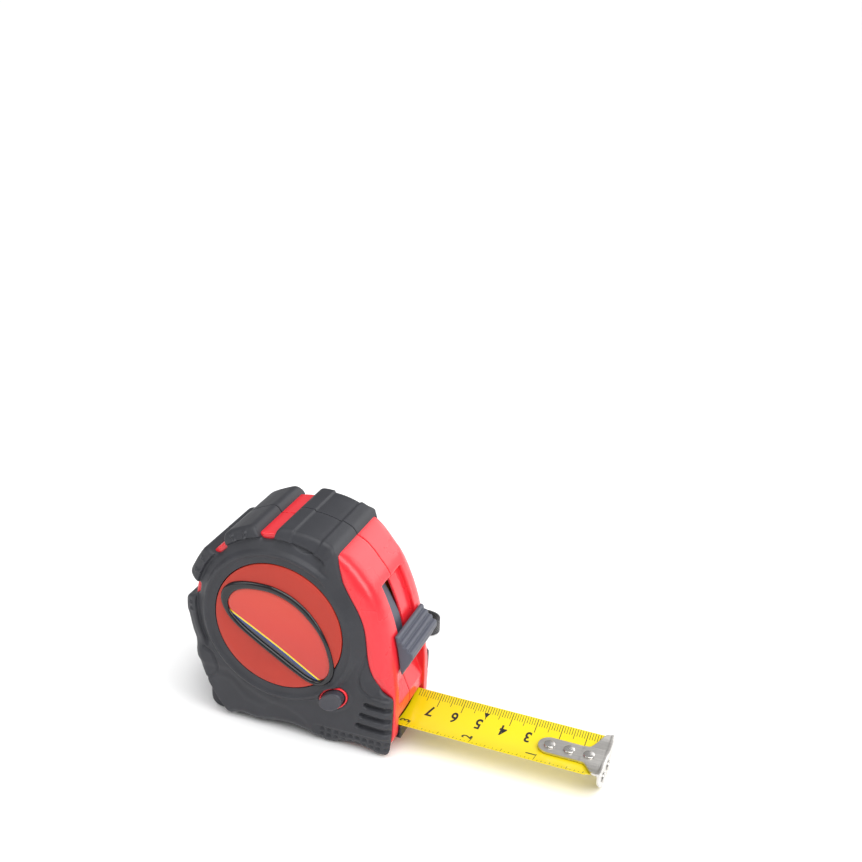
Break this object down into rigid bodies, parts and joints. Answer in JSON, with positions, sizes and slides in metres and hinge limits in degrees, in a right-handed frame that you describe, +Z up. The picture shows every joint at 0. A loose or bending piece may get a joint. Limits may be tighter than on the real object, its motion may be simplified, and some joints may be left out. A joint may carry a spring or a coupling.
{
  "type": "tape measure",
  "caption": "Pocket tape measure with rubber-gripped case, thumb lock, brake button, end hook, belt clip and wrist strap; the blade is drawn out.",
  "frame": {"origin": "bottom centre of the bounding box, wrist strap left out, on the plane of the feet", "axes": "+X the way the blade draws out, +Z up from the feet, -Y the label side, +Y the belt clip side"},
  "size_m": [0.1755, 0.1018, 0.0905],
  "materials": {
    "shell_red": "moulded ABS, soft gloss",
    "grip_rubber": "matte over-moulded rubber, fine grain",
    "lip_black": "glossy",
    "label_satin": "satin printed film",
    "rim_black": "glossy",
    "label_gloss": "glossy domed film",
    "screw_steel": "zinc plated",
    "spool_plastic": "moulded",
    "spring_steel": "blued spring steel",
    "blade_yellow": "lacquered, semi-gloss, printed scale",
    "clip_steel": "nickel plated",
    "strap_ribbon": "ribbed woven ribbon",
    "rivet_steel": "polished domes",
    "hook_steel": "satin nickel",
    "lock_grey": "moulded, slate grey",
    "button_grey": "moulded, dark slate grey"
  },
  "bodies": {
    "case": {"label_side_shell": "shell_red", "clip_side_shell": "shell_red", "label_side_grip": "grip_rubber", "clip_side_grip": "grip_rubber", "mouth_lip": "lip_black", "label_plate": "label_satin", "label_rim": "rim_black", "label_dome": "label_gloss", "clip_side_label": "label_satin", "case_screws": "screw_steel", "spool_axle": "spool_plastic", "blade_throat": "blade_yellow", "button_bezel": "shell_red", "button_spring": "spring_steel", "belt_clip": "clip_steel", "belt_clip_screw": "screw_steel", "strap_pin": "screw_steel", "wrist_strap": "strap_ribbon"},
    "spool": {"spool_drum": "spool_plastic", "drum_cap": "spool_plastic", "power_spring": "spring_steel", "blade_coil": "blade_yellow"},
    "blade": {"blade_strip": "blade_yellow", "hook_rivets": "rivet_steel"},
    "hook": {"end_hook": "hook_steel", "hook_magnets": "rivet_steel"},
    "lock": {"thumb_lock": "lock_grey", "lock_tongue": "lock_grey", "lock_brake_shoe": "lock_grey"},
    "button": {"brake_button": "button_grey", "button_stem": "button_grey", "brake_pad": "grip_rubber"}
  },
  "joints": [
    {"name": "spool_spin", "type": "hinge", "parent": "case", "child": "spool", "pos_m": [-0.04225, -0.00296, 0.0496], "axis": [0, -1, 0], "range_deg": [-126.2, 0]},
    {"name": "blade_slide", "type": "slide", "parent": "case", "child": "blade", "axis": [1, 0, 0], "range_m": [-0.0728, 0]},
    {"name": "hook_float", "type": "slide", "parent": "blade", "child": "hook", "axis": [1, 0, 0], "range_m": [-0.0008, 0.0008]},
    {"name": "lock_swing", "type": "hinge", "parent": "case", "child": "lock", "pos_m": [-0.08375, -0.00296, 0.0295], "axis": [0, -1, 0], "range_deg": [0, 11]},
    {"name": "button_push", "type": "slide", "parent": "case", "child": "button", "axis": [0, 1, 0], "range_m": [0, 0.002], "stiffness_N_per_m": 500, "springref_m": -0.001, "deforming": ["button_spring"]}
  ],
  "couplings": [
    {"joint": "blade_slide", "follows": "spool_spin", "m_per_rad": 0.033}
  ]
}
